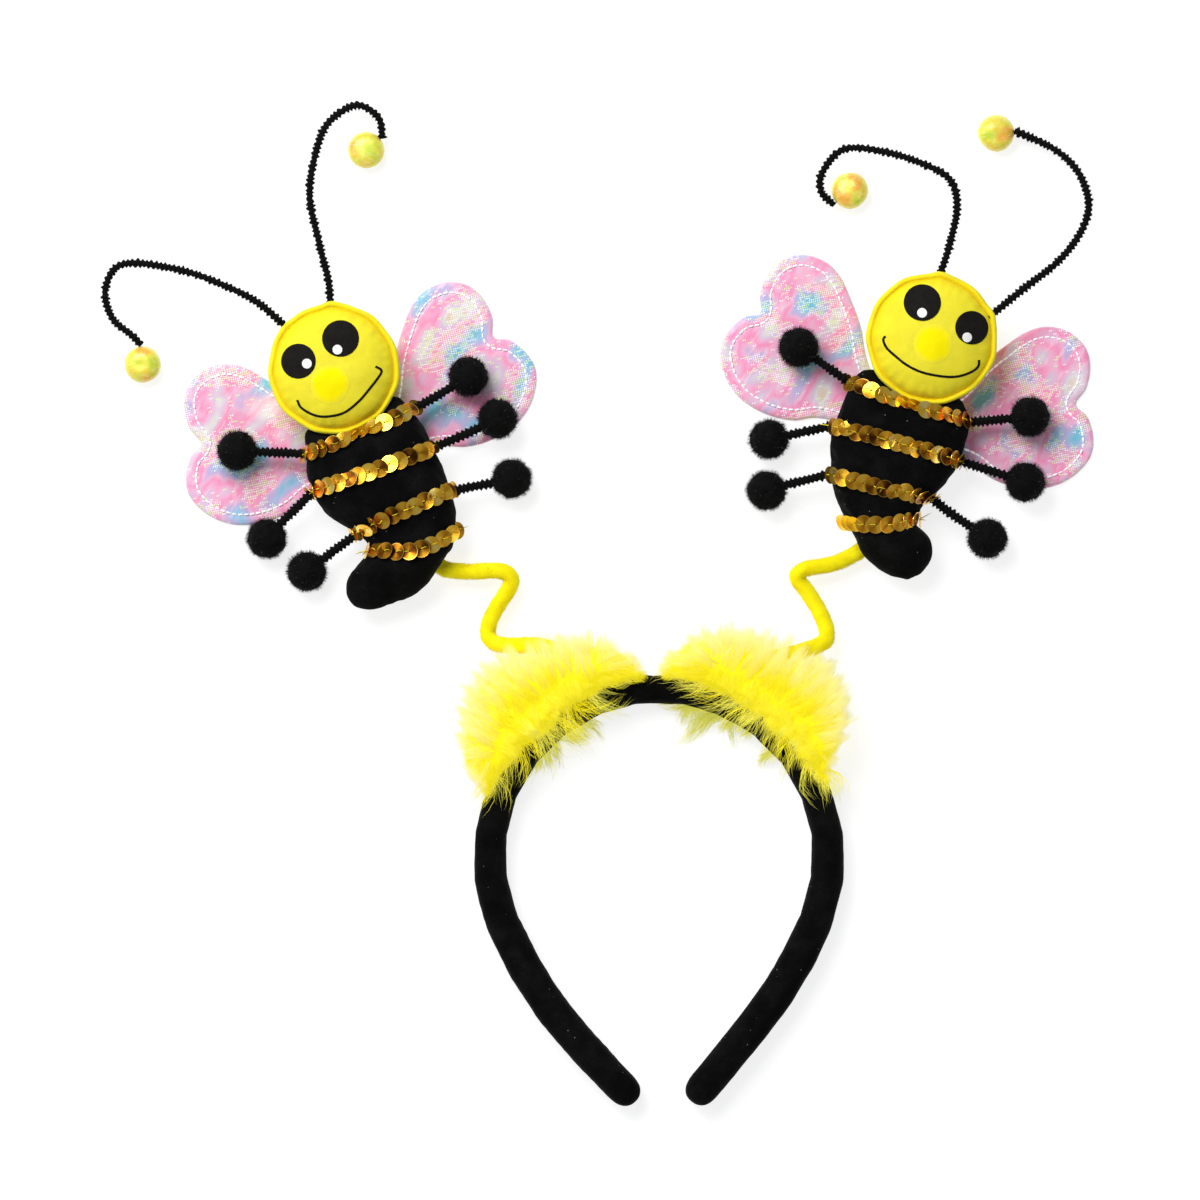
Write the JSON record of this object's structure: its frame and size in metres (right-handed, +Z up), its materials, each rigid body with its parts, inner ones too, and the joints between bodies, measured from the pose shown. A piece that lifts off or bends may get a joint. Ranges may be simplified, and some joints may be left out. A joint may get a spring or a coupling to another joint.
{
  "type": "bee antenna headband",
  "caption": "Padded velvet headband with feather tufts and bent plush stems that carry stuffed bees with sequin stripes, quilted wings, chenille legs and feelers.",
  "frame": {"origin": "on the resting surface, under the middle of the headband's crown", "axes": "+Z up from the surface the headband lies on, +Y from the crown towards the bees, -Y towards the band's open ends, +X to the right as the bees' faces are seen"},
  "size_m": [0.3777, 0.3813, 0.0314],
  "materials": {
    "black_velvet": "short-pile velvet over padding",
    "yellow_marabou": "fluffy marabou feather",
    "yellow_plush": "velour-covered wire",
    "yellow_felt": "stuffed felt, sewn rim",
    "black_print": "printed on the felt",
    "gold_sequin": "metallised gold foil",
    "pearl_fabric": "iridescent woven film, white stitching",
    "black_chenille": "chenille pile on wire",
    "yellow_foil": "iridescent foil cloth, padded"
  },
  "bodies": {
    "root": {"headband": "black_velvet", "left_feather_tuft": "yellow_marabou", "left_stem": "yellow_plush", "left_body": "black_velvet", "left_head": "yellow_felt", "left_eye_outer": "black_print", "left_eye_inner": "black_print", "left_mouth": "black_print", "left_sequin_stripe_1": "gold_sequin", "left_sequin_stripe_2": "gold_sequin", "left_sequin_stripe_3": "gold_sequin", "left_sequin_stripe_4": "gold_sequin", "left_wing_outer": "pearl_fabric", "left_wing_inner": "pearl_fabric", "left_leg_outer_1": "black_chenille", "left_leg_outer_2": "black_chenille", "left_leg_outer_3": "black_chenille", "left_leg_inner_1": "black_chenille", "left_leg_inner_2": "black_chenille", "left_leg_inner_3": "black_chenille", "left_pompom_outer_1": "black_chenille", "left_pompom_outer_2": "black_chenille", "left_pompom_outer_3": "black_chenille", "left_pompom_inner_1": "black_chenille", "left_pompom_inner_2": "black_chenille", "left_pompom_inner_3": "black_chenille", "left_feeler_outer": "black_chenille", "left_feeler_inner": "black_chenille", "left_feeler_tip_outer": "yellow_foil", "left_feeler_tip_inner": "yellow_foil", "right_feather_tuft": "yellow_marabou", "right_stem": "yellow_plush", "right_body": "black_velvet", "right_head": "yellow_felt", "right_eye_outer": "black_print", "right_eye_inner": "black_print", "right_mouth": "black_print", "right_sequin_stripe_1": "gold_sequin", "right_sequin_stripe_2": "gold_sequin", "right_sequin_stripe_3": "gold_sequin", "right_sequin_stripe_4": "gold_sequin", "right_wing_outer": "pearl_fabric", "right_wing_inner": "pearl_fabric", "right_leg_outer_1": "black_chenille", "right_leg_outer_2": "black_chenille", "right_leg_outer_3": "black_chenille", "right_leg_inner_1": "black_chenille", "right_leg_inner_2": "black_chenille", "right_leg_inner_3": "black_chenille", "right_pompom_outer_1": "black_chenille", "right_pompom_outer_2": "black_chenille", "right_pompom_outer_3": "black_chenille", "right_pompom_inner_1": "black_chenille", "right_pompom_inner_2": "black_chenille", "right_pompom_inner_3": "black_chenille", "right_feeler_outer": "black_chenille", "right_feeler_inner": "black_chenille", "right_feeler_tip_outer": "yellow_foil", "right_feeler_tip_inner": "yellow_foil"}
  },
  "joints": []
}
